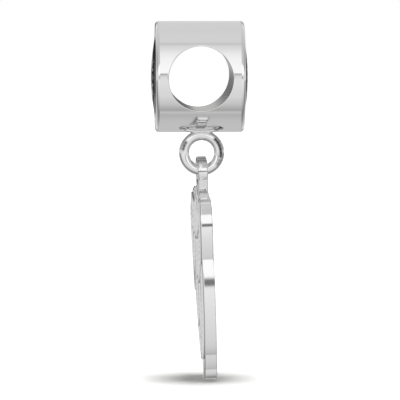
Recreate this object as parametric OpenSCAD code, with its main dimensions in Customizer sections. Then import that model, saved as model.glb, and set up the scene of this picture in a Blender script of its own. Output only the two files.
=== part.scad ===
/* [Bead] */
// Outer diameter of the drum-shaped bead
bead_d = 8.25; // [8:0.05:9]
// Width of the drum over its two rims
bead_w = 6.6; // [6.4:0.1:7.2]
// Diameter of the hole that the bracelet passes through
bore_d = 4.75; // [4.4:0.05:4.9]
// Radius of the polished outer edge of each rim
rim_edge_r = 0.3; // [0.15:0.05:0.4]

/* [End medallions] */
// Diameter of the round enamel field in each end of the drum
field_d = 6; // [5.8:0.1:6.4]
// Depth of the recess that holds the enamel
field_depth = 0.4; // [0.3:0.05:0.5]
// Rise of the enamel's domed face above the rim
field_rise = 0.26; // [0.12:0.02:0.3]
// Rise of the silver rosette above the enamel
motif_rise = 0.05; // [0.04:0.01:0.12]
// Length of one rosette petal, from the centre
petal_len = 1.8; // [1.7:0.1:2.4]
// Width of one rosette petal at its middle
petal_w = 0.5; // [0.44:0.02:0.6]
// Number of rosette petals
petal_count = 8; // [6:1:9]

/* [Hanging ring] */
// Diameter of the ring's round wire
ring_wire_d = 0.78; // [0.7:0.02:0.8]
// Radius of the ring at the middle of its wire
ring_mid_r = 1.305; // [1.28:0.005:1.36]
// Depth that the ring is let into the drum's underside
ring_sink = 0.17; // [0.15:0.01:0.4]
// How far the ring is soldered to the right of the drum's middle
ring_x = 0.17; // [0:0.01:0.3]

/* [Wing charm] */
// Outer radius of the loop on top of the wing
loop_r = 1.12; // [1.06:0.02:1.14]
// Radius of the hole in the loop
loop_hole_r = 0.55; // [0.54:0.01:0.6]
// How far the loop hangs below the middle of the wire that carries it
loop_drop = 0.07; // [0:0.01:0.08]
// Thickness of the loop
loop_t = 0.72; // [0.6:0.02:0.8]
// Thickness of the wing at the tips of its longest, lowest feathers
wing_t = 1.02; // [0.9:0.02:1.1]
// Rise from the tips of one row of feathers to the tips of the row above it
row_step = 0.02; // [0.01:0.01:0.05]
// Depth of the grooves between neighbouring feathers
groove = 0.1; // [0.08:0.01:0.16]
// Radius of the quill along the middle of each feather
quill_r = 0.08; // [0.05:0.01:0.1]
// Turn of the hanging wing about the vertical, degrees
wing_yaw = 4; // [0:0.5:5]
// Lean of the hanging wing across the ring, degrees
wing_lean = 2.2; // [0:0.1:2.4]
// Turn in its own plane that brings the wing's weight under the ring, degrees
wing_balance = -3.1; // [-4:0.1:4]

/* [Hidden] */
$fn = 96;

silver = [0.86, 0.86, 0.85];
black_enamel = [0.03, 0.03, 0.035];
cut = 0.5;            // how far a cutting shape runs past what it cuts
inlay_gap = 0.02;     // gap between an enamel inlay and the silver round it

bead_r = bead_d / 2;
field_r = field_d / 2;
field_floor = bead_w / 2 - field_depth;
dome_r = (pow(field_r, 2) + pow(field_rise, 2)) / (2 * field_rise);
dome_x = bead_w / 2 + field_rise - dome_r;
boss_r = 0.42;        // round boss where the petals meet
dot_r = 0.12;         // dots between the petals
dot_at = 1.45;        // distance of the dots from the centre
ring_z = -(bead_r - ring_sink + ring_mid_r + ring_wire_d / 2);
hinge_z = ring_z - ring_mid_r;

// A profile drawn as (radius, x) turned about the X axis
module about_x() rotate([0, 90, 0]) rotate_extrude() children();

// Something made at the +X end of the drum, and the same at the other end
module both_ends() for (turn = [0, 180]) rotate(turn) children();

// Drum section: flat ends, and the outer corners rounded
module drum_profile() {
    flat = bead_w / 2 - rim_edge_r;
    translate([0, -bead_w / 2]) square([bead_r - rim_edge_r, bead_w]);
    translate([0, -flat]) square([bead_r, 2 * flat]);
    for (side = [-1, 1]) translate([bead_r - rim_edge_r, side * flat]) circle(rim_edge_r);
}

// What lies under the dome at the +X end, from the recess floor up, raised by rise
module dome(rise) about_x() intersection() {
    translate([0, dome_x + rise]) circle(dome_r, $fn = 256);
    translate([0, field_floor]) square([field_r - inlay_gap, 2]);
}

// Pointed petal from the centre out to length, between two arcs
module petal(length, width) {
    arc_r = (pow(length / 2, 2) + pow(width / 2, 2)) / width;
    intersection_for(side = [-1, 1])
        translate([length / 2, side * (arc_r - width / 2)]) circle(arc_r, $fn = 128);
}

// Rosette drawn flat; grow widens it all round
module rosette(grow) {
    circle(boss_r + grow);
    for (i = [0 : petal_count - 1]) rotate(i * 360 / petal_count) {
        petal(petal_len + grow, petal_w + 2 * grow);
        rotate(180 / petal_count) translate([dot_at, 0]) circle(dot_r + grow);
    }
}

// The rosette as a prism through the dome at the +X end
module rosette_prism(grow) translate([field_floor - cut, 0, 0]) rotate([0, 90, 0])
    linear_extrude(field_depth + 2 * cut) rosette(grow);

module raised_rosette() intersection() {
    dome(motif_rise);
    rosette_prism(0);
}

module hanging_ring() translate([ring_x, 0, ring_z]) rotate([90, 0, 0])
    rotate_extrude() translate([ring_mid_r, 0]) circle(d = ring_wire_d);

// Cast drum with its cross bore, end recesses and rosettes, and the ring soldered under it
module bead() color(silver) {
    difference() {
        about_x() drum_profile();
        rotate([90, 0, 0]) cylinder(d = bore_d, h = bead_d + 2 * cut, center = true);
        both_ends() translate([field_floor, 0, 0]) rotate([0, 90, 0])
            cylinder(r = field_r, h = field_depth + cut);
    }
    both_ends() raised_rosette();
    hanging_ring();
}

// Black enamel that fills a recess round its rosette
module enamel() color(black_enamel) difference() {
    dome(0);
    rosette_prism(inlay_gap);
}
module left_enamel() rotate(180) enamel();
module right_enamel() enamel();

/* The wing is laid out flat: p runs across it to the +Y side of the ring, and q down from
   the middle of its loop. Each feather is a blade along a curve from its root, drawn
   towards a bend point, to its tip. */
root = 0; bend = 1; tip = 2; width = 3;
coverts = [
    [[-1.48, 2.22], [-3.3, 2.65], [-1.42, 8.01], 1.14],
    [[-0.6, 1.8], [-1.3, 3.0], [-1.4, 4.6], 1.2],
    [[0.2, 1.4], [-0.2, 3.2], [-0.3, 5.0], 1.3],
    [[1.1, 1.4], [0.9, 3.2], [0.85, 5.0], 1.3],
    [[1.9, 1.5], [2.0, 3.0], [1.95, 4.7], 1.3],
    [[2.5, 1.8], [2.9, 2.8], [2.85, 4.3], 1.4],
];
second_coverts = [
    [[-0.7, 3.0], [-1.9, 5.6], [-1.5, 8.0], 1.4],
    [[0.2, 3.0], [-0.3, 5.8], [-0.25, 8.3], 1.4],
    [[1.1, 3.0], [0.9, 5.8], [0.95, 8.0], 1.4],
    [[2.0, 3.0], [2.6, 5.2], [2.1, 7.6], 1.6],
];
secondaries = [
    [[-0.8, 4.58], [-2.42, 6.2], [-1.07, 13.9], 1.64],
    [[-0.9, 5.0], [-1.9, 8.8], [-0.75, 12.3], 1.6],
    [[0.4, 5.0], [0.0, 9.0], [0.4, 12.4], 1.5],
    [[1.4, 5.0], [2.2, 8.2], [1.5, 11.6], 1.6],
];
primaries = [
    [[-0.62, 8.96], [-1.73, 9.84], [-0.55, 15.17], 1.31],
    [[-0.6, 8.0], [-1.3, 11.4], [-0.4, 14.3], 1.6],
    [[0.6, 8.0], [0.1, 12.0], [-0.5, 15.43], 1.9],
    [[1.7, 5.4], [3.3, 9.6], [0.8, 14.0], 1.9],
];
rows = [primaries, secondaries, second_coverts, coverts];
leading_edge = [
    [[-1.6, 2.75], [-0.1, 2.45], [2.2, 1.6], 0.9],
    [[1.4, 1.4], [4.1, 1.5], [2.75, 8.9], 1.1],
];
stem_w = 2;                 // width of the neck where it leaves the loop
stem_q = [0.4, 2.5];        // where the neck starts, and how far down it runs into the wing
stem_foot = [-0.36, 1.2];   // the two sides of the neck at its foot
loop_back = 0.45;           // from the wing's back to the middle of the loop's thickness
arm_t = wing_t + 3.6 * row_step;
root_t = wing_t - groove;   // every feather starts this thick, under the row above it
belly = 0.55;               // share of its length where a feather is widest
root_share = 0.6;           // width of a feather at its root, of its full width
tip_share = 0.2;            // width of the small flat at its very tip
quill_at = [0.12, 0.5, 0.84]; // where along the feather its quill starts, bends and ends

stations = [0, 0.14, 0.28, 0.42, 0.55, 0.68, 0.79, 0.88, 0.945, 0.98, 1];
across = [-1, -0.6, 0, 0.6, 1];
lift = [0, 0.7, 1, 0.7, 0];     // crown height over the edge, of the groove's depth

function on_curve(f, t) =
    pow(1 - t, 2) * f[root] + 2 * t * (1 - t) * f[bend] + pow(t, 2) * f[tip];
function heading(f, t) = let (h = (1 - t) * (f[bend] - f[root]) + t * (f[tip] - f[bend])) h / norm(h);
function half_width(f, t) = f[width] / 2 * (t < belly
    ? root_share + (1 - root_share) * sin(90 * t / belly)
    : max(tip_share, sqrt(1 - pow((t - belly) / (1 - belly), 2))));
function height(t, tip_t) = root_t + (tip_t - root_t) * sin(90 * min(1, t / belly));

// Section of a feather at t: its crowned top from side to side, then two corners below
function section(f, t, tip_t) =
    let (at = on_curve(f, t), h = heading(f, t), w = half_width(f, t),
         edge_t = height(t, tip_t) - groove)
    concat(
        [for (i = [0 : len(across) - 1])
            let (v = at + w * across[i] * [h[1], -h[0]])
            [v[0], -v[1], edge_t + groove * lift[i]]],
        [for (side = [1, -1])
            let (v = at + w * side * [h[1], -h[0]])
            [v[0], -v[1], 0]]);

module blade(f, tip_t) {
    k = len(across) + 2;
    last = len(stations) - 1;
    points = [for (t = stations) each section(f, t, tip_t)];
    sides = [for (s = [0 : last - 1]) for (i = [0 : k - 1])
        let (a = s * k + i, b = s * k + (i + 1) % k)
        each [[a, b, b + k], [a, b + k, a + k]]];
    polyhedron(points, concat(
        sides,
        [[for (i = [k - 1 : -1 : 0]) i]],
        [[for (i = [0 : k - 1]) last * k + i]]));
}

// Raised quill down the middle of a feather, thinning towards the tip
module quill(f, tip_t) for (k = [1 : len(quill_at) - 1]) hull()
    for (t = [quill_at[k - 1], quill_at[k]])
        let (at = on_curve(f, t), r = quill_r * (1 - 0.5 * t))
            translate([at[0], -at[1], height(t, tip_t) - r / 4]) sphere(r, $fn = 6);

module feathers() {
    for (r = [0 : len(rows) - 1]) for (f = rows[r]) {
        blade(f, wing_t + r * row_step);
        quill(f, wing_t + r * row_step);
    }
    for (f = leading_edge) blade(f, arm_t);
}

// Neck between the loop and the shoulder of the wing
module stem() linear_extrude(loop_t, center = true)
    polygon([[-stem_w / 2, -stem_q[0]], [stem_w / 2, -stem_q[0]],
        [stem_foot[1], -stem_q[1]], [stem_foot[0], -stem_q[1]]]);

// Cast wing with its loop, hung on the ring
module wing() color(silver)
    translate([ring_x, 0, hinge_z]) rotate([0, -wing_lean, 0]) rotate([wing_balance, 0, wing_yaw])
        rotate([90, 0, 90]) mirror([0, 0, 1]) translate([0, -loop_drop, 0]) {
            translate([0, 0, -loop_back]) feathers();
            difference() {
                union() {
                    cylinder(r = loop_r, h = loop_t, center = true, $fn = 64);
                    stem();
                }
                cylinder(r = loop_hole_r, h = 2 * loop_t, center = true, $fn = 48);
            }
        }

bead();
left_enamel();
right_enamel();
wing();
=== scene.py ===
import math
import bmesh
import bpy
import numpy as np
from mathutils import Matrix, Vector


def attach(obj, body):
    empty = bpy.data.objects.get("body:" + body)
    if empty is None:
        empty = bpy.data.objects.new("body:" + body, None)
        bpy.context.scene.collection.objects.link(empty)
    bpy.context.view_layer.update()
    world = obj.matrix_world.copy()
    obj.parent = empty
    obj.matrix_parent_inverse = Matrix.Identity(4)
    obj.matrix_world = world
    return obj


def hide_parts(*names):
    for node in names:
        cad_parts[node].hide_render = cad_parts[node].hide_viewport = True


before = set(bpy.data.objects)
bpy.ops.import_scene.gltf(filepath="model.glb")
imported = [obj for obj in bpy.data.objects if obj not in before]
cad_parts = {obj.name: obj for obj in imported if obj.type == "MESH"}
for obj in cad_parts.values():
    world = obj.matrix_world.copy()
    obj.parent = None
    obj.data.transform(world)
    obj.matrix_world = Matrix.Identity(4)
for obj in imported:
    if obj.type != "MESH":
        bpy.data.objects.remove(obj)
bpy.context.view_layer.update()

# The drum: a short cast bead of 925 silver with a wide hole bored through it for the
# bracelet. Its barrel, rounded rims and the sunk field in each end are turned and polished,
# and the hole's two mouths are eased by hand. Sizes are in millimetres, and only what goes
# straight to Blender is in metres.
silver_white = "#F0F0F0"
bored_grey = "#949390"
# Dark grey painted in as shade on the wing and its loop, and as dark reflections on the ring.
recess_tarnish = "#3C3B39"
polish_roughness = 0.05
bored_roughness = 0.16
gloss_spread = 0.04
recess_roughness = 0.15
buff_waves = 1.6
buff_strength = 0.12
dust = 0.12

drum_r = 4.125
drum_half = 3.3
edge_r = 0.3
bore_r = 2.375
mouth_r = 0.08
field_r = 3.0
field_depth = 0.4
field_edge = 0.05
field_floor = drum_half - field_depth
patch_angle = 0.72


def linear(hex_colour):
    """An sRGB hex colour as the linear RGBA that the shaders take."""
    parts = [int(hex_colour[i:i + 2], 16) / 255 for i in (1, 3, 5)]
    return [c / 12.92 if c <= 0.04045 else ((c + 0.055) / 1.055) ** 2.4 for c in parts] + [1]


def add(tree, kind, settings=None, inputs=None):
    """A node with its settings; an input is a value, or another node's output linked to it."""
    node = tree.nodes.new(kind)
    for name, value in (settings or {}).items():
        setattr(node, name, value)
    for name, value in (inputs or {}).items():
        if isinstance(value, bpy.types.NodeSocket):
            tree.links.new(value, node.inputs[name])
        else:
            node.inputs[name].default_value = value
    return node


def polished_silver(name, colour, roughness, darkened=0.0):
    """Sterling silver off a buffing wheel: near-mirror, with the wheel's long faint waves.
    Marked points are rougher and painted darker: painted shade on the wing and its loop,
    painted dark reflections on the ring. Specks of dust are finer than a pixel of this
    picture, so they are drawn coarser, 0.12 mm across."""
    material = bpy.data.materials.new(name)
    material.use_nodes = True
    tree = material.node_tree
    tree.nodes.clear()
    place = add(tree, "ShaderNodeTexCoord").outputs["Object"]
    waves = add(tree, "ShaderNodeTexNoise", {}, {
        "Vector": place, "Scale": 1000 / buff_waves, "Detail": 1.0, "Roughness": 0.4})
    specks = add(tree, "ShaderNodeTexNoise", {}, {
        "Vector": place, "Scale": 1000 / dust, "Detail": 2.0})
    gloss = add(tree, "ShaderNodeMapRange", {}, {
        "Value": specks.outputs["Fac"], "From Min": 0.3, "From Max": 0.75,
        "To Min": roughness, "To Max": roughness + gloss_spread})
    bump = add(tree, "ShaderNodeBump", {}, {
        "Height": waves.outputs["Fac"], "Strength": buff_strength, "Distance": 0.00002})
    shader = add(tree, "ShaderNodeBsdfPrincipled", {}, {
        "Base Color": linear(colour), "Metallic": 1.0, "Roughness": gloss.outputs["Result"],
        "Normal": bump.outputs["Normal"]})
    # Painted shade and painted dark reflections: marked points are mixed towards a dark grey.
    if darkened:
        recess = add(tree, "ShaderNodeAttribute", {"attribute_name": "recess"}).outputs["Fac"]
        dulled = add(tree, "ShaderNodeMath", {"operation": "MULTIPLY_ADD"}, {
            0: recess, 1: recess_roughness, 2: gloss.outputs["Result"]})
        share = add(tree, "ShaderNodeMath", {"operation": "MULTIPLY"}, {0: recess, 1: darkened})
        toned = add(tree, "ShaderNodeMix", {"data_type": "RGBA"}, {
            0: share.outputs[0], 6: linear(colour), 7: linear(recess_tarnish)})
        tree.links.new(dulled.outputs[0], shader.inputs["Roughness"])
        tree.links.new(toned.outputs[2], shader.inputs["Base Color"])
    add(tree, "ShaderNodeOutputMaterial", {}, {"Surface": shader.outputs["BSDF"]})
    return material


def solid(name, points, faces, materials, body, sharp_deg=40, material_index=None,
          recess=None):
    """A closed smooth-shaded mesh from points in millimetres, riding on a body."""
    mesh = bpy.data.meshes.new(name)
    mesh.from_pydata((np.asarray(points, float) / 1000).tolist(), [], faces)
    for material in materials:
        mesh.materials.append(material)
    if material_index is not None:
        mesh.polygons.foreach_set("material_index", material_index)
    if recess is not None:
        mesh.attributes.new("recess", "FLOAT", "POINT").data.foreach_set("value", recess)
    mesh.polygons.foreach_set("use_smooth", [True] * len(mesh.polygons))
    mesh.set_sharp_from_angle(angle=math.radians(sharp_deg))
    piece = bpy.data.objects.new(name, mesh)
    bpy.context.scene.collection.objects.link(piece)
    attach(piece, body)
    return piece


def weld(piece, distance=0.0004):
    """Joins the patches of a mesh along their shared borders and turns its faces outwards.
    At distance 0 the points stay as they are, and only the faces are turned."""
    work = bmesh.new()
    work.from_mesh(piece.data)
    if distance:
        bmesh.ops.remove_doubles(work, verts=work.verts, dist=distance / 1000)
    bmesh.ops.recalc_face_normals(work, faces=work.faces)
    work.to_mesh(piece.data)
    work.free()


def grid_faces(rows, columns, first=0, wrap_columns=False, wrap_rows=False):
    """Quads over a grid of points that is numbered row by row."""
    faces = []
    for r in range(rows if wrap_rows else rows - 1):
        for c in range(columns if wrap_columns else columns - 1):
            a = first + r * columns + c
            b = first + r * columns + (c + 1) % columns
            below = (r + 1) % rows
            faces.append((a, b, first + below * columns + (c + 1) % columns,
                          first + below * columns + c))
    return faces


def curve(start, corner, end, share):
    """A point of the smooth curve from start to end that leans into a corner."""
    return ((1 - share) ** 2 * np.array(start) + 2 * share * (1 - share) * np.array(corner)
            + share ** 2 * np.array(end))


def drum_mesh():
    """The drum's skin as patches: one round each mouth, laid out in unrolled (x, angle)
    coordinates, then the mouths, the bore, the barrel's top and bottom, and the two ends."""
    flat = drum_half - edge_r
    lip = bore_r + mouth_r
    across = np.linspace(-flat, flat, 49)
    front = np.linspace(-patch_angle, patch_angle, 49)
    over = np.linspace(patch_angle, math.pi - patch_angle, 41)[1:-1]
    points, faces, inside = [], [], []

    def barrel(x, angle, radius=drum_r):
        return (x, -radius * math.cos(angle), radius * math.sin(angle))

    def patch(rows, wrap=False, bored=False):
        first = len(points)
        for row in rows:
            points.extend(row)
        new = grid_faces(len(rows), len(rows[0]), first, wrap_columns=wrap)
        faces.extend(new)
        inside.extend([1 if bored else 0] * len(new))

    border = ([(x, front[0]) for x in across[:-1]] + [(flat, a) for a in front[:-1]]
              + [(x, front[-1]) for x in across[:0:-1]] + [(-flat, a) for a in front[:0:-1]])
    turns = [math.atan2(drum_r * math.sin(a), x) for x, a in border]
    for side in (1, -1):
        rows = []
        for share in np.linspace(0, 1, 15) ** 0.8:
            row = []
            for (x, angle), turn in zip(border, turns):
                lip_x = lip * math.cos(turn)
                lip_angle = math.asin(lip * math.sin(turn) / drum_r)
                px, py, pz = barrel(x + (lip_x - x) * share, angle + (lip_angle - angle) * share)
                row.append((px, side * py, pz))
            rows.append(row)
        patch(rows, wrap=True)

    inner_rims = []
    for side in (-1, 1):
        rows = []
        for share in np.linspace(0, 1, 7):
            row = []
            for turn in turns:
                outer = (lip, math.sqrt(drum_r ** 2 - (lip * math.sin(turn)) ** 2))
                corner = (bore_r, math.sqrt(drum_r ** 2 - (bore_r * math.sin(turn)) ** 2))
                r, y = curve(outer, corner, (bore_r, corner[1] - mouth_r), share)
                row.append((r * math.cos(turn), side * y, r * math.sin(turn)))
            rows.append(row)
        patch(rows, wrap=True)
        inner_rims.append(rows[-1])
    near, far = inner_rims
    patch([[(a[0], a[1] + (b[1] - a[1]) * share, a[2]) for a, b in zip(near, far)]
           for share in np.linspace(0, 1, 25)], wrap=True, bored=True)

    for top in (1, -1):
        angles = [patch_angle] + list(over) + [math.pi - patch_angle]
        patch([[barrel(x, top * angle) for x in across] for angle in angles])

    round_the_drum = (list(front) + list(over) + [math.pi - a for a in front[::-1]]
                      + [math.pi + patch_angle + (a - patch_angle) for a in over])
    profile = [(flat + edge_r * math.sin(t), drum_r - edge_r + edge_r * math.cos(t))
               for t in np.linspace(0, math.pi / 2, 13)]
    profile += [(drum_half, r) for r in np.linspace(drum_r - edge_r, field_r + field_edge, 6)[1:]]
    profile += [(drum_half - field_edge + field_edge * math.cos(t),
                 field_r + field_edge - field_edge * math.sin(t))
                for t in np.linspace(0, math.pi / 2, 6)[1:]]
    profile += [(field_floor + 0.15, field_r), (field_floor, field_r), (field_floor, 1.8),
                (field_floor, 0.6)]
    for end in (1, -1):
        patch([[barrel(end * x, angle, r) for angle in round_the_drum] for x, r in profile],
              wrap=True)
        faces.append(tuple(range(len(points) - len(round_the_drum), len(points))))
        inside.append(0)
    return points, faces, inside


# The mirror polish of the outside shows the studio as sharp bands. The bore is only reamed,
# so its wall looks greyer and its reflections are soft.
drum_silver = polished_silver("turned_polished_925_silver", silver_white, polish_roughness)
bored_silver = polished_silver("bored_925_silver", bored_grey, bored_roughness)
points, faces, inside = drum_mesh()
drum = solid("drum", points, faces, [drum_silver, bored_silver], "drum",
             material_index=inside)
weld(drum)
drum.data.set_sharp_from_angle(angle=math.radians(40))
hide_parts("bead")

# The end medallions: black vitreous enamel fired into the sunk field of each end, then
# stoned and flash-fired to a glassy dome. An eight-petalled silver rosette with a round
# boss and eight dots is cast in one with the drum and stands a little proud of the glass.
enamel_black = "#08080A"
enamel_rise = 0.26
enamel_wall = 0.03
orange_peel = 0.5
rosette_roughness = 0.07
rosette_rise = 0.015
rosette_root = field_floor + 0.1
petals = 8
petal_len = 1.8
petal_w = 0.5
boss_r = 0.42
dot_r = 0.12
dot_at = 1.45
inlay_gap = 0.02
dome_r = (field_r ** 2 + enamel_rise ** 2) / (2 * enamel_rise)
crown_shares = (1, 0.96, 0.85, 0.6, 0.3)


def dome_height(r):
    """How far the glass stands past the rim at a distance from the middle."""
    return enamel_rise - dome_r + math.sqrt(dome_r ** 2 - r ** 2)


def fired_enamel():
    """Vitreous enamel: an opaque black glass with a wet gloss and a trace of orange peel."""
    material = bpy.data.materials.new("fired_black_enamel")
    material.use_nodes = True
    tree = material.node_tree
    tree.nodes.clear()
    place = add(tree, "ShaderNodeTexCoord").outputs["Object"]
    peel = add(tree, "ShaderNodeTexNoise", {}, {
        "Vector": place, "Scale": 1000 / orange_peel, "Detail": 1.0})
    bump = add(tree, "ShaderNodeBump", {}, {
        "Height": peel.outputs["Fac"], "Strength": 0.1, "Distance": 0.00001})
    shader = add(tree, "ShaderNodeBsdfPrincipled", {}, {
        "Base Color": linear(enamel_black), "Roughness": 0.08, "IOR": 1.5,
        "Specular IOR Level": 0.3, "Normal": bump.outputs["Normal"]})
    add(tree, "ShaderNodeOutputMaterial", {}, {"Surface": shader.outputs["BSDF"]})
    return material


def turned_disc(end, profile, segments=128):
    """A round piece on the drum's axis from (x, radius) points that start and end on the axis."""
    points = [(end * profile[0][0], 0, 0)]
    for x, r in profile[1:-1]:
        points += [(end * x, r * math.cos(t), r * math.sin(t))
                   for t in np.linspace(0, 2 * math.pi, segments, endpoint=False)]
    points.append((end * profile[-1][0], 0, 0))
    rings = len(profile) - 2
    faces = grid_faces(rings, segments, 1, wrap_columns=True)
    last = 1 + (rings - 1) * segments
    for c in range(segments):
        faces.append((0, 1 + c, 1 + (c + 1) % segments))
        faces.append((len(points) - 1, last + (c + 1) % segments, last + c))
    return points, faces


def tube(rows):
    """A closed skin from rows of points round it, capped at both ends."""
    count = len(rows[0])
    points = [p for row in rows for p in row]
    faces = grid_faces(len(rows), count, wrap_columns=True)
    faces.append(tuple(range(count - 1, -1, -1)))
    faces.append(tuple(range(len(points) - count, len(points))))
    return points, faces


def motif_top(y, z, share):
    """How far out a petal or dot stands at a place, crowned towards its own middle line."""
    lift = rosette_rise * (0.84 + 0.16 * math.sqrt(max(0, 1 - share ** 2)))
    return drum_half + dome_height(math.hypot(y, z)) + lift


def petal_outline(turn, share):
    """A pointed oval from the boss outwards, narrowed by share about its middle line."""
    rim = []
    arc_r = ((petal_len / 2) ** 2 + (petal_w / 2) ** 2) / petal_w
    reach = math.asin(petal_len / 2 / arc_r)
    for way in (1, -1):
        for t in np.linspace(-reach, reach, 25)[:-1]:
            along = petal_len / 2 + way * arc_r * math.sin(t)
            out = way * (arc_r * math.cos(t) - arc_r + petal_w / 2) * share
            rim.append((along * math.cos(turn) - out * math.sin(turn),
                        along * math.sin(turn) + out * math.cos(turn)))
    return rim


def dot_outline(turn, share):
    """A small round dot between two petals."""
    at = turn + math.pi / petals
    return [(dot_at * math.cos(at) + dot_r * share * math.cos(t),
             dot_at * math.sin(at) + dot_r * share * math.sin(t))
            for t in np.linspace(0, 2 * math.pi, 24, endpoint=False)]


def rosette_mesh(end):
    """The petals and dots, each a wall with a crown, and the boss in the middle."""
    points, faces = [], []

    def join(new_points, new_faces):
        faces.extend(tuple(v + len(points) for v in face) for face in new_faces)
        points.extend(new_points)

    for i in range(petals):
        turn = 2 * math.pi * i / petals
        for outline in (petal_outline, dot_outline):
            rows = [[(end * rosette_root, y, z) for y, z in outline(turn, 1)]]
            for share in crown_shares:
                rows.append([(end * motif_top(y, z, share), y, z) for y, z in outline(turn, share)])
            join(*tube(rows))
    profile = [(rosette_root, 0), (rosette_root, boss_r)]
    profile += [(drum_half + enamel_rise - 0.02 + (rosette_rise + 0.02) * math.sin(t),
                 boss_r * math.cos(t) ** 0.6) for t in np.linspace(0, math.pi / 2 - 0.1, 12)]
    profile += [(drum_half + enamel_rise + rosette_rise, 0)]
    join(*turned_disc(end, profile, 48))
    return points, faces


# Fired enamel is a wet-looking black that mirrors only the brightest walls. The rosette is
# cast, so its polish is a little softer than the turned barrel's.
enamel = fired_enamel()
rosette_silver = polished_silver("cast_polished_925_silver", silver_white, rosette_roughness)
for side, end in (("left", -1), ("right", 1)):
    glass_r = field_r - inlay_gap
    profile = [(field_floor, 0)] + [(field_floor, r) for r in (1.0, 2.0, glass_r)]
    profile += [(drum_half - enamel_wall, glass_r)]
    profile += [(drum_half + dome_height(r), r)
                for r in np.linspace(glass_r - enamel_wall, 0.2, 20)]
    profile += [(drum_half + enamel_rise, 0)]
    points, faces = turned_disc(end, profile)
    glass = solid(f"{side}_enamel_dome", points, faces, [enamel], "drum")
    weld(glass)
    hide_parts(f"{side}_enamel")

    points, faces = rosette_mesh(end)
    rosette = solid(f"{side}_rosette", points, faces, [rosette_silver], "drum")
    weld(rosette, 0)

# The hanging ring: a jump ring of round silver wire, let into the drum's underside and
# soldered, so that a small concave fillet of solder runs round its foot. It is tumbled and
# polished with the drum; broken streaks of painted dark reflection run along its outer side.
wire_r = 0.39
ring_r = 1.305
ring_x = 0.17
ring_sink = 0.17
fillet = 0.14
ring_z = -(drum_r - ring_sink + ring_r + wire_r)
# Each streak of painted dark reflection runs from one turn to another, in degrees clockwise
# from the ring's top, and has a depth of painted dark. Its place and width round the wire are in
# degrees too.
painted_dark_streaks = ((36, 108, 1.4), (103, 134, 0.8), (274, 312, 1.1))
streak_fade = 8
streak_at = 288
streak_width = 17


def ring_skin():
    """Round wire bent to a ring, with broken lines of painted dark reflection along its outer side.
    """
    points, recess = [], []
    for turn in np.linspace(0, 360, 180, endpoint=False):
        streak = 0
        # Painted dark reflection: each streak lays dark grey along the wire's outer side.
        for start, end, depth in painted_dark_streaks:
            ends = (min(1, max(0, (turn - start) / streak_fade))
                    * min(1, max(0, (end - turn) / streak_fade)))
            beads = math.cos(math.radians(turn * 45)) * math.cos(math.radians(turn * 13))
            streak += depth * ends * (0.82 + 0.18 * beads)
        across, up = math.sin(math.radians(turn)), math.cos(math.radians(turn))
        for t in np.linspace(0, 360, 64, endpoint=False):
            r = ring_r + wire_r * math.cos(math.radians(t))
            points.append((ring_x + r * across, wire_r * math.sin(math.radians(t)),
                           ring_z + r * up))
            recess.append(min(1, streak * math.exp(-((t - streak_at) / streak_width) ** 2)))
    return points, grid_faces(180, 64, wrap_columns=True, wrap_rows=True), recess


def wire_reach(turn, drop):
    """Distance from the foot's middle to the wire's skin, drop below the drum, along a turn."""
    near, far = 0.0, 1.6
    for _ in range(40):
        d = (near + far) / 2
        x, y = d * math.cos(turn), d * math.sin(turn)
        height = -math.sqrt(drum_r ** 2 - y ** 2) - drop - ring_z
        inside_wire = (math.hypot(x, height) - ring_r) ** 2 + y ** 2 < wire_r ** 2
        near, far = (d, far) if inside_wire else (near, d)
    return near


def solder_skin():
    """A band of solder round the foot: hollow outside, and sunk in silver inside."""
    rows = []
    for turn in np.linspace(0, 2 * math.pi, 120, endpoint=False):
        foot, low_foot = wire_reach(turn, 0), wire_reach(turn, fillet)
        section = [curve((foot + fillet, 0), (foot, 0), (low_foot - 0.004, fillet), share)
                   for share in np.linspace(0, 1, 9)]
        section += [(low_foot - 0.12, fillet - 0.02), (foot - 0.1, -0.08),
                    (foot + fillet - 0.02, -0.06)]
        row = []
        for d, drop in section:
            y = d * math.sin(turn)
            row.append((ring_x + d * math.cos(turn), y, -math.sqrt(drum_r ** 2 - y ** 2) - drop))
        rows.append(row)
    points = [p for row in rows for p in row]
    return points, grid_faces(len(rows), len(rows[0]), wrap_columns=True, wrap_rows=True), None


# Drawn wire polishes to a clean mirror: bright lines along it, with painted dark reflections only
# in its streaks.
wire_silver = polished_silver("drawn_polished_925_silver_wire", silver_white, polish_roughness,
                              darkened=1.0)
for name, (points, faces, recess) in (("hanging_ring", ring_skin()),
                                      ("ring_solder", solder_skin())):
    weld(solid(name, points, faces, [wire_silver], "drum", sharp_deg=60, recess=recess))

# The wing: a flat charm cast in one piece, modelled in relief on its face as four rows of
# overlapping feathers under a rolled leading edge, with shallower feathers on its back. The
# feathers are chased with barbs and a quill, and the whole charm is tumbled to a polish.
wing_t = 1.02
row_step = 0.02
leading_steps = 3.6
groove = 0.1
crown_power = 2.4
quill_rise = 0.06
quill_w = 0.075
# Real barbs are some 0.1 mm apart, finer than two pixels, so they are drawn coarser.
barb_pitch = 0.4
barb_depth = 0.011
barb_slant = 1.3
edge_round = 0.07
back_crown = 0.05
layer_gap = 0.004
loop_r = 1.12
loop_hole_r = 0.55
loop_t = 0.72
loop_drop = 0.07
loop_back = 0.45
loop_soft = 0.12
loop_steps = 96
neck_top = 0.62
neck_foot = 2.5
neck_half = 0.933
neck_in = 0.573
neck_out = 0.267
neck_soft = 0.1
wing_yaw = math.radians(4)
wing_lean = math.radians(2.2)
wing_balance = math.radians(-3.1)
hinge_z = ring_z - ring_r

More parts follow.
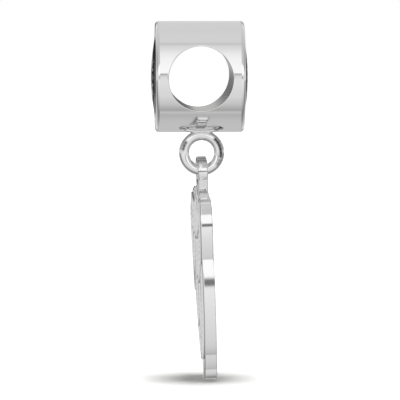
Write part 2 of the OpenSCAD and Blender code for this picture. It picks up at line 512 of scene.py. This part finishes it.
# A feather is its root, the point that it bends towards, its tip, each as (across, down) on
# the flat wing from the loop's middle, and its full width.
primaries = [
    ((-0.62, 8.96), (-1.73, 9.84), (-0.55, 15.17), 1.31),
    ((-0.6, 8.0), (-1.3, 11.4), (-0.4, 14.3), 1.6),
    ((0.6, 8.0), (0.1, 12.0), (-0.5, 15.43), 1.9),
    ((1.7, 5.4), (3.3, 9.6), (0.8, 14.0), 1.9),
]
secondaries = [
    ((-0.8, 4.58), (-2.42, 6.2), (-1.07, 13.9), 1.64),
    ((-0.9, 5.0), (-1.9, 8.8), (-0.75, 12.3), 1.6),
    ((0.4, 5.0), (0.0, 9.0), (0.4, 12.4), 1.5),
    ((1.4, 5.0), (2.2, 8.2), (1.5, 11.6), 1.6),
]
second_coverts = [
    ((-0.7, 3.0), (-1.9, 5.6), (-1.5, 8.0), 1.4),
    ((0.2, 3.0), (-0.3, 5.8), (-0.25, 8.3), 1.4),
    ((1.1, 3.0), (0.9, 5.8), (0.95, 8.0), 1.4),
    ((2.0, 3.0), (2.6, 5.2), (2.1, 7.6), 1.6),
]
coverts = [
    ((-1.48, 2.22), (-3.3, 2.65), (-1.42, 8.01), 1.14),
    ((-0.6, 1.8), (-1.3, 3.0), (-1.4, 4.6), 1.2),
    ((0.2, 1.4), (-0.2, 3.2), (-0.3, 5.0), 1.3),
    ((1.1, 1.4), (0.9, 3.2), (0.85, 5.0), 1.3),
    ((1.9, 1.5), (2.0, 3.0), (1.95, 4.7), 1.3),
    ((2.5, 1.8), (2.9, 2.8), (2.85, 4.3), 1.4),
]
leading_edge = [
    ((-1.6, 2.75), (-0.1, 2.45), (2.2, 1.6), 0.9),
    ((1.4, 1.4), (4.1, 1.5), (2.75, 8.9), 1.1),
]
belly = 0.55
root_share = 0.6
row_pitch = 0.07
vane = np.array([0.97, 0.9, 0.78, 0.64, 0.5, 0.36, 0.24, 0.15, 0.09, 0.045, 0])
vane = np.concatenate([-vane, vane[-2::-1]])
back_vane = (0.8, 0.6, 0.4, 0.2, 0, -0.2, -0.4, -0.6, -0.8)


def hang(p, q, h):
    """A point of the flat wing (across, down, and up from its back) where it hangs on the ring."""
    x, y, z = -(h - loop_back), p, -(q + loop_drop)
    y, z = (y * math.cos(wing_balance) - z * math.sin(wing_balance),
            y * math.sin(wing_balance) + z * math.cos(wing_balance))
    x, y = (x * math.cos(wing_yaw) - y * math.sin(wing_yaw),
            x * math.sin(wing_yaw) + y * math.cos(wing_yaw))
    x, z = (x * math.cos(wing_lean) - z * math.sin(wing_lean),
            x * math.sin(wing_lean) + z * math.cos(wing_lean))
    return (ring_x + x, y, hinge_z + z)


def feather(shape, tip_t, layer, barbed=True):
    """One feather as a closed blade: crowned and chased on top, shallower on its back. Each
    layer's back lies a hair higher, so that no two share a plane."""
    start, bend, tip = (np.array(point) for point in shape[:3])
    width = shape[3]
    length = np.linalg.norm(bend - start) + np.linalg.norm(tip - bend)
    lifted = back_crown + layer_gap * layer
    rows, recess = [], []
    for t in 1 - (1 - np.linspace(0, 1, int(length / row_pitch))) ** 1.15:
        at = curve(start, bend, tip, t)
        heading = (1 - t) * (bend - start) + t * (tip - bend)
        heading = heading / np.linalg.norm(heading)
        aside = np.array([heading[1], -heading[0]])
        if t < belly:
            swell = root_share + (1 - root_share) * math.sin(math.pi / 2 * t / belly)
        else:
            swell = math.sqrt(max(0.0, 1 - ((t - belly) / (1 - belly)) ** 2))
        half = max(0.03, width / 2 * swell)
        root_t = wing_t - groove
        full = root_t + (tip_t - root_t) * math.sin(math.pi / 2 * min(1, t / belly))
        turn = min(edge_round, half * 0.6)
        edge = full - groove
        wall = [(half - turn, lifted), (half - 0.3 * turn, 0.08 * turn + lifted),
                (half, 0.8 * turn + lifted), (half, 1.3 * turn), (half, edge - 1.3 * turn),
                (half, edge - 0.8 * turn), (half - 0.25 * turn, edge - 0.15 * turn)]
        row = [(-a, b, 0) for a, b in wall]
        for u in vane:
            crown = groove * (1 - abs(u) ** crown_power)
            lie = 1 - abs(u) ** 6
            quill = quill_rise * math.exp(-(u * half / quill_w) ** 2) * (1 - 0.7 * t)
            barb = 0
            if barbed:
                along = (t * length - barb_slant * abs(u) * half) / barb_pitch
                barb = barb_depth * (0.5 - 0.5 * math.cos(2 * math.pi * along)) ** 3
                barb *= lie * min(1, half / 0.3) * min(1, abs(u) * half / 0.12)
            # Painted shade: darker towards the vane's edges and in the barbs.
            hollow = min(1, abs(u) ** 7 + 0.35 * barb / barb_depth)
            row.append((u * (half - 0.25 * turn), edge + crown + quill * lie - barb, hollow))
        row += [(a, b, 0) for a, b in wall[::-1]]
        # The back's edges get painted shade too.
        for u in back_vane:
            row.append((u * (half - turn), back_crown * abs(u) ** crown_power + layer_gap * layer,
                        0.7 * abs(u) ** 5))
        rows.append([hang(*(at + aside * a), b) for a, b, hollow in row])
        recess.extend(hollow for a, b, hollow in row)
    return (*tube(rows), recess)


def bar_section(left, right, low, high, soft):
    """The outline of a flat bar with its four corners rounded."""
    outline = []
    for a, b, start in ((right - soft, high - soft, 0), (left + soft, high - soft, 90),
                        (left + soft, low + soft, 180), (right - soft, low + soft, 270)):
        for t in np.radians(np.linspace(start, start + 90, 7)):
            outline.append((a + soft * math.cos(t), b + soft * math.sin(t)))
    return outline


def wing_loop():
    """The cast loop: a flat ring with rolled edges. Its crown, under the hanging ring, is darker
    and rougher as painted shade, and a painted dark line runs along its crest towards the front."""
    front_step = loop_steps * 3 // 4
    section = bar_section(loop_hole_r, loop_r, loop_back - loop_t / 2, loop_back + loop_t / 2,
                          loop_soft)
    points, recess = [], []
    for step in range(loop_steps):
        turn = 2 * math.pi * step / loop_steps
        points += [hang(r * math.sin(turn), -r * math.cos(turn), h) for r, h in section]
        # Painted shade on the crown under the ring, and a painted dark line on the front crest.
        painted_shade = 0.55 * min(1, max(0, (math.cos(turn) - 0.25) / 0.45))
        if step == front_step:
            painted_shade = 0.9
        recess += [painted_shade if r > (loop_r + loop_hole_r) / 2 else 0 for r, h in section]
    faces = grid_faces(loop_steps, len(section), wrap_columns=True, wrap_rows=True)
    return points, faces, recess


def neck():
    """The neck from the loop down into the shoulder: it narrows in front, widens at the back."""
    rows = []
    for share in np.linspace(0, 1, 13):
        q = neck_top + (neck_foot - neck_top) * share
        left = -neck_half + neck_in * share
        right = neck_half + neck_out * share ** 2
        section = bar_section(left, right, loop_back - loop_t / 2, loop_back + loop_t / 2,
                              neck_soft)
        rows.append([hang(p, q, h) for p, h in section])
    return (*tube(rows), [0] * sum(len(row) for row in rows))


# Cast silver chased by hand and then tumbled: bright crowns, with painted shade darkening
# the grooves between the feathers and the barbs.
wing_silver = polished_silver("cast_chased_925_silver", silver_white, rosette_roughness,
                              darkened=0.85)
parts = []
for r, feathers in enumerate((primaries, secondaries, second_coverts, coverts)):
    for shape in feathers:
        parts.append(feather(shape, wing_t + r * row_step, len(parts)))
for shape in leading_edge:
    parts.append(feather(shape, wing_t + leading_steps * row_step, len(parts), barbed=False))
parts += [wing_loop(), neck()]
points, faces, recess = [], [], []
for new_points, new_faces, new_recess in parts:
    faces += [tuple(v + len(points) for v in face) for face in new_faces]
    points += new_points
    recess += new_recess
wing = solid("cast_wing", points, faces, [wing_silver], "charm", sharp_deg=50,
             recess=recess)
weld(wing, 0)
wing.data.set_sharp_from_angle(angle=math.radians(50))
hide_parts("wing")

# The studio: a white paper sweep under a soft box. The polished silver sees grey walls and
# lit panels as bands, and a dark backdrop low behind the charm; the camera sees only white.
floor_z = -22.54
floor_reach = 400
paper_white = "#F4F4F2"
sun_angle = 16
sun_strength = 3.6
silver_reflects = 0.88
side_shade = 0.72
glow_tone = 0.8
rim_tone = 0.75
backdrop_tone = 0.05
fill_tone = 0.35
# The display grey that silver shows for the wall at each pitch. Pitch 0 is level towards the
# camera, 90 straight up, 180 level behind and -90 straight down. The drum reflects the
# middle; the wing's edges, which are turned a few degrees, reflect the flanks.
middle = [(-180, .78), (-146, .74), (-123, .75), (-100, .74), (-84, .69), (-76, .76),
          (-72, .64), (-66, .68), (-57, .76), (-48, .80), (-39, .84), (-25, .85), (-13, .87),
          (-1, .87), (5, .82), (6.2, .66), (8.4, .66), (9.4, .98), (24, .97), (38, .955),
          (51, .92), (60, .87), (69, .83), (74, .76), (79, .82), (96, .82), (115, .81),
          (160, .81), (180, .80)]
flanks = [(-180, .62), (-150, .68), (-120, .70), (-104, .55), (-80, .50), (-62, .66),
          (-50, .74), (-40, .81), (-20, .87), (-2.2, .92), (-1.6, .42), (3.6, .42), (4.4, 1.0),
          (26, .99), (30, .76), (80, .74), (120, .80), (180, .64)]
scene = bpy.context.scene
scene.view_settings.view_transform = "Standard"


def radiance(display):
    """Linear radiance that silver shows as this display grey."""
    tone = display / 12.92 if display <= 0.04045 else ((display + 0.055) / 1.055) ** 2.4
    return tone / silver_reflects


def studio_world():
    """The walls, by pitch and by how far they lie off to a side."""
    world = bpy.data.worlds.new("studio_walls")
    scene.world = world
    world.use_nodes = True
    tree = world.node_tree
    tree.nodes.clear()
    way = add(tree, "ShaderNodeSeparateXYZ", {}, {
        "Vector": add(tree, "ShaderNodeTexCoord").outputs["Generated"]}).outputs
    off_middle = add(tree, "ShaderNodeMath", {"operation": "ABSOLUTE"}, {0: way["X"]}).outputs[0]

    def edge(value, start, end):
        return add(tree, "ShaderNodeMapRange", {"interpolation_type": "SMOOTHSTEP"}, {
            "Value": value, "From Min": start, "From Max": end}).outputs["Result"]

    def both(first, second):
        return add(tree, "ShaderNodeMath", {"operation": "MULTIPLY"}, {
            0: first, 1: second}).outputs[0]

    def tinted(where, below, over, blend="MIX"):
        if isinstance(over, (int, float)):
            over = [over, over, over, 1]
        return add(tree, "ShaderNodeMix", {"data_type": "RGBA", "blend_type": blend}, {
            0: where, 6: below, 7: over}).outputs[2]

    front = add(tree, "ShaderNodeMath", {"operation": "MULTIPLY"}, {0: way["Y"], 1: -1.0})
    pitch = add(tree, "ShaderNodeMath", {"operation": "ARCTAN2"}, {
        0: way["Z"], 1: front.outputs[0]})
    share = add(tree, "ShaderNodeMapRange", {}, {
        "Value": pitch.outputs[0], "From Min": -math.pi, "From Max": math.pi})
    bands = []
    for tones in (middle, flanks):
        ramp = add(tree, "ShaderNodeValToRGB", {}, {"Fac": share.outputs["Result"]})
        elements = ramp.color_ramp.elements
        elements.remove(elements[-1])
        for i, (degrees, tone) in enumerate(tones):
            place = (degrees + 180) / 360
            stop = elements[0] if i == 0 else elements.new(place)
            stop.position = place
            stop.color = [radiance(tone)] * 3 + [1]
        bands.append(ramp.outputs["Color"])
    walls = tinted(edge(off_middle, 0.07, 0.12), *bands)
    walls = tinted(edge(off_middle, 0.7, 0.95), walls, side_shade, "MULTIPLY")
    walls = tinted(both(edge(off_middle, 0.2, 0.34), edge(way["Y"], 0.6, 0.8)), walls, glow_tone)
    rims = both(edge(off_middle, 0.22, 0.3),
                both(edge(way["Z"], -0.08, -0.05), edge(way["Z"], 0.1, 0.07)))
    walls = tinted(rims, walls, rim_tone)
    backdrop = both(both(edge(way["Y"], 0.92, 0.965), edge(off_middle, 0.05, 0.08)),
                    both(edge(way["Z"], 0.2, 0.12), edge(way["Z"], -0.078, -0.066)))
    walls = tinted(backdrop, walls, backdrop_tone)
    rays = add(tree, "ShaderNodeLightPath").outputs
    walls = tinted(rays["Is Diffuse Ray"], walls, fill_tone)
    seen = tinted(rays["Is Camera Ray"], walls, 1.0)
    light = add(tree, "ShaderNodeBackground", {}, {"Color": seen, "Strength": 1.0})
    add(tree, "ShaderNodeOutputWorld", {}, {"Surface": light.outputs["Background"]})


studio_world()

# Matt white paper: it takes the soft shadow and has no shine of its own.
paper = bpy.data.materials.new("white_paper_sweep")
paper.use_nodes = True
paper_shader = paper.node_tree.nodes["Principled BSDF"]
paper_shader.inputs["Base Color"].default_value = linear(paper_white)
paper_shader.inputs["Roughness"].default_value = 0.9
paper_shader.inputs["Specular IOR Level"].default_value = 0.0
floor_mesh = bpy.data.meshes.new("sweep")
floor_mesh.from_pydata([(x * floor_reach / 1000, y * floor_reach / 1000, floor_z / 1000)
                        for x, y in ((-1, -1), (1, -1), (1, 1), (-1, 1))], [], [(0, 1, 2, 3)])
floor_mesh.materials.append(paper)
sweep = bpy.data.objects.new("sweep", floor_mesh)
scene.collection.objects.link(sweep)
sweep.visible_glossy = False

lamp = bpy.data.lights.new("soft_box", "SUN")
lamp.angle = math.radians(sun_angle)
lamp.energy = sun_strength
soft_box = bpy.data.objects.new("soft_box", lamp)
scene.collection.objects.link(soft_box)
soft_box.visible_glossy = False
soft_box.visible_camera = False

# The camera: a long lens at the photograph's angle, slightly to the left and above. The
# picture is 29.74 mm wide at the charm, 300 mm away.
camera_azimuth = math.radians(-1.93)
camera_elevation = math.radians(4.34)
camera_distance = 300
picture_w = 29.74
sensor_w = 36
aim = Vector((0.00005, 0, -0.009175))
camera_data = bpy.data.cameras.new("camera")
camera_data.sensor_width = sensor_w
camera_data.lens = sensor_w * camera_distance / picture_w
camera_data.clip_start = 0.01
camera_data.clip_end = 10
camera = bpy.data.objects.new("camera", camera_data)
scene.collection.objects.link(camera)
back = Vector((math.sin(camera_azimuth) * math.cos(camera_elevation),
               -math.cos(camera_azimuth) * math.cos(camera_elevation), math.sin(camera_elevation)))
camera.location = aim + back * (camera_distance / 1000)
camera.rotation_mode = "QUATERNION"
camera.rotation_quaternion = (-back).to_track_quat("-Z", "Y")
scene.camera = camera
